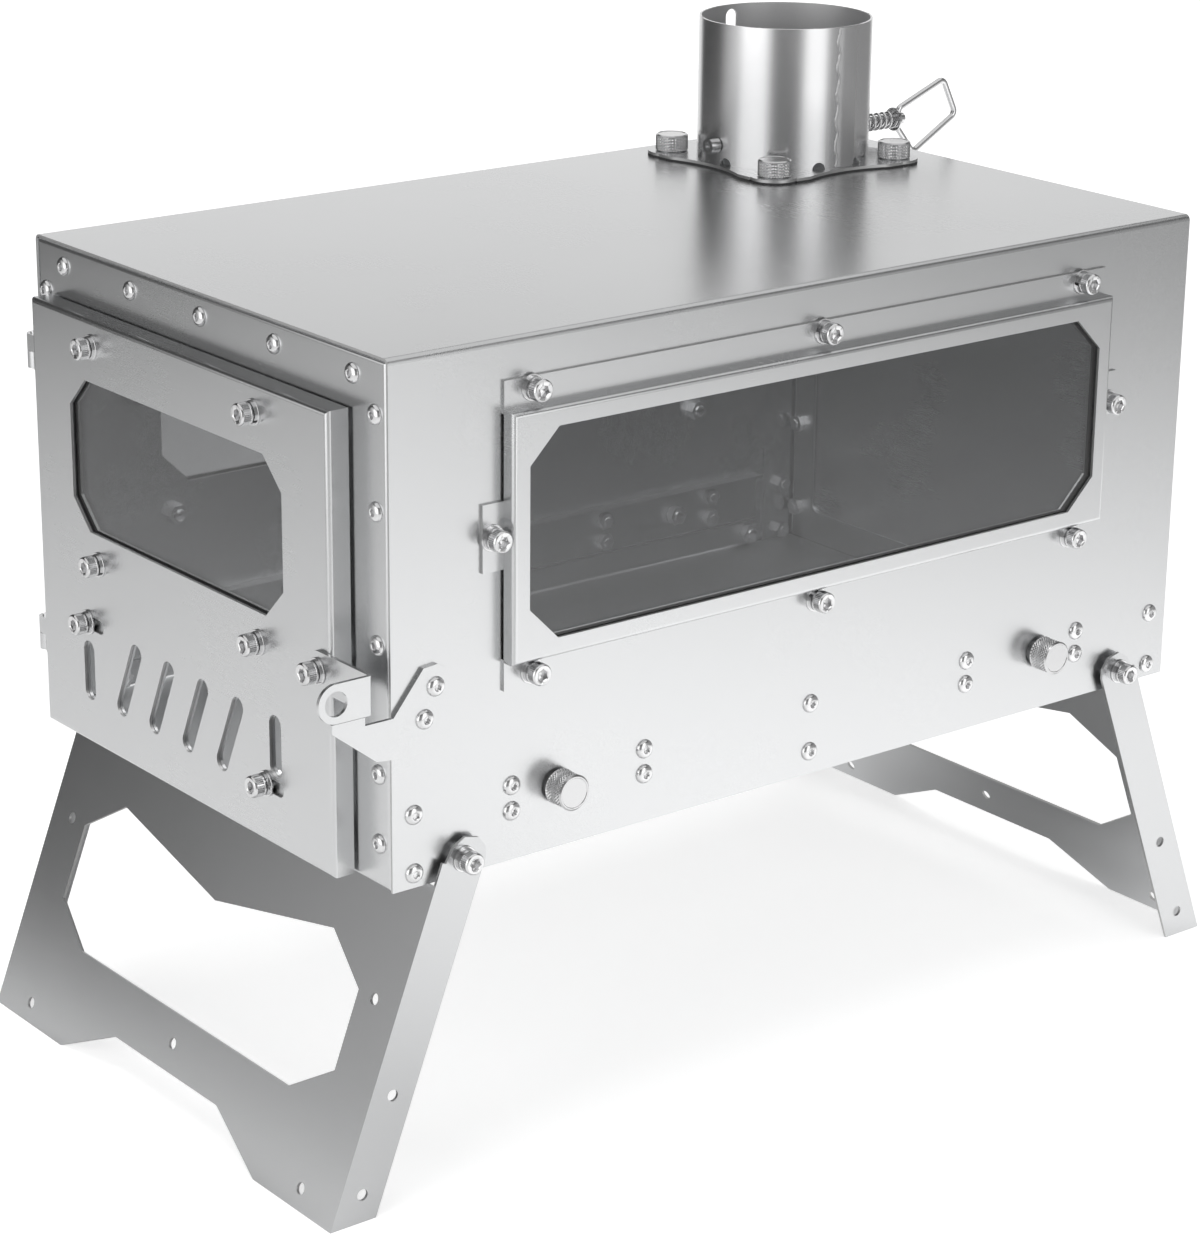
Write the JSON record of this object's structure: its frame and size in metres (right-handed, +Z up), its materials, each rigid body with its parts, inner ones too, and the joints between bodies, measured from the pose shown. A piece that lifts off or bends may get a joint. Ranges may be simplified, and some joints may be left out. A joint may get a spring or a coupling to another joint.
{
  "type": "tent wood stove",
  "caption": "Low box wood stove of folded sheet steel with a glazed hinged door, side windows, fold-away legs and a flue collar with a damper.",
  "frame": {"origin": "on the floor, under the middle of the stove's whole outline in plan", "axes": "+X to the stove's right wall (the latch side), +Y to its back, +Z up; the door faces -Y"},
  "size_m": [0.2642, 0.4776, 0.3875],
  "materials": {
    "satin_steel": "satin rolled stainless sheet with laser-cut edges",
    "inner_steel": "plain rolled stainless sheet",
    "leg_steel": "satin rolled stainless sheet",
    "flue_steel": "polished rolled tube",
    "fastener_steel": "bright machined stainless",
    "knurled_steel": "bright turned head with a diamond knurl",
    "bright_wire": "drawn bright wire",
    "fibre_gasket": "dark heat-proof fibre sheet",
    "smoked_glass": "flat heat-proof glass, lightly smoked"
  },
  "bodies": {
    "stove_body": {"body_wrap": "satin_steel", "front_panel": "satin_steel", "front_frame": "inner_steel", "back_panel": "satin_steel", "back_frame": "inner_steel", "bottom_panel": "inner_steel", "side_rails": "inner_steel", "panel_screws": "fastener_steel", "panel_nuts": "fastener_steel", "rail_screws": "fastener_steel", "rail_nuts": "fastener_steel", "thumbscrews": "knurled_steel", "thumbscrew_nuts": "fastener_steel", "window_frame_right": "satin_steel", "window_frame_left": "satin_steel", "window_gasket_right": "fibre_gasket", "window_gasket_left": "fibre_gasket", "window_glass_right": "smoked_glass", "window_glass_left": "smoked_glass", "window_screws": "fastener_steel", "window_washers": "fastener_steel", "window_nuts": "fastener_steel", "flue_gasket": "fibre_gasket", "flue_flange": "satin_steel", "flue_collar": "flue_steel", "flue_knobs": "knurled_steel", "flue_nuts": "fastener_steel", "hook_plate": "satin_steel", "hook_screws": "fastener_steel", "hook_nuts": "fastener_steel", "hinge_leaves_body": "satin_steel", "hinge_pins": "fastener_steel", "leg_screws": "fastener_steel", "leg_washers": "fastener_steel", "leg_spacers": "fastener_steel", "leg_nuts": "fastener_steel"},
    "door": {"door_panel": "satin_steel", "door_gasket": "fibre_gasket", "door_glass": "smoked_glass", "door_glass_clamp": "inner_steel", "door_screws": "fastener_steel", "door_washers": "fastener_steel", "door_nuts": "fastener_steel", "hinge_leaves_door": "satin_steel"},
    "latch": {"latch_arm": "satin_steel"},
    "shutter": {"air_shutter": "inner_steel", "shutter_screws": "fastener_steel", "shutter_washers": "fastener_steel", "shutter_nuts": "fastener_steel"},
    "damper": {"damper_disc": "inner_steel", "damper_axle": "bright_wire", "damper_screws": "fastener_steel", "damper_spring": "bright_wire", "damper_washer": "bright_wire", "damper_handle": "bright_wire"},
    "front_leg": {"front_leg": "leg_steel"},
    "rear_leg": {"rear_leg": "leg_steel"}
  },
  "joints": [
    {"name": "door_hinge", "type": "hinge", "parent": "stove_body", "child": "door", "pos_m": [-0.115, -0.2114, 0.126], "axis": [0, 0, -1], "range_deg": [0, 120]},
    {"name": "latch_pivot", "type": "hinge", "parent": "door", "child": "latch", "pos_m": [0.093, -0.2054, 0.206], "axis": [0, -1, 0], "range_deg": [-6, 90]},
    {"name": "air_slide", "type": "slide", "parent": "door", "child": "shutter", "axis": [1, 0, 0], "range_m": [0, 0.009]},
    {"name": "damper_turn", "type": "hinge", "parent": "stove_body", "child": "damper", "pos_m": [-0.0645, -0.2054, 0.335], "axis": [0, 1, 0], "continuous": true},
    {"name": "front_leg_fold", "type": "hinge", "parent": "stove_body", "child": "front_leg", "pos_m": [0, -0.1759, 0.1336], "axis": [1, 0, 0], "range_deg": [0, 110]},
    {"name": "rear_leg_fold", "type": "hinge", "parent": "stove_body", "child": "rear_leg", "pos_m": [0, 0.1651, 0.1336], "axis": [-1, 0, 0], "range_deg": [0, 110]}
  ]
}
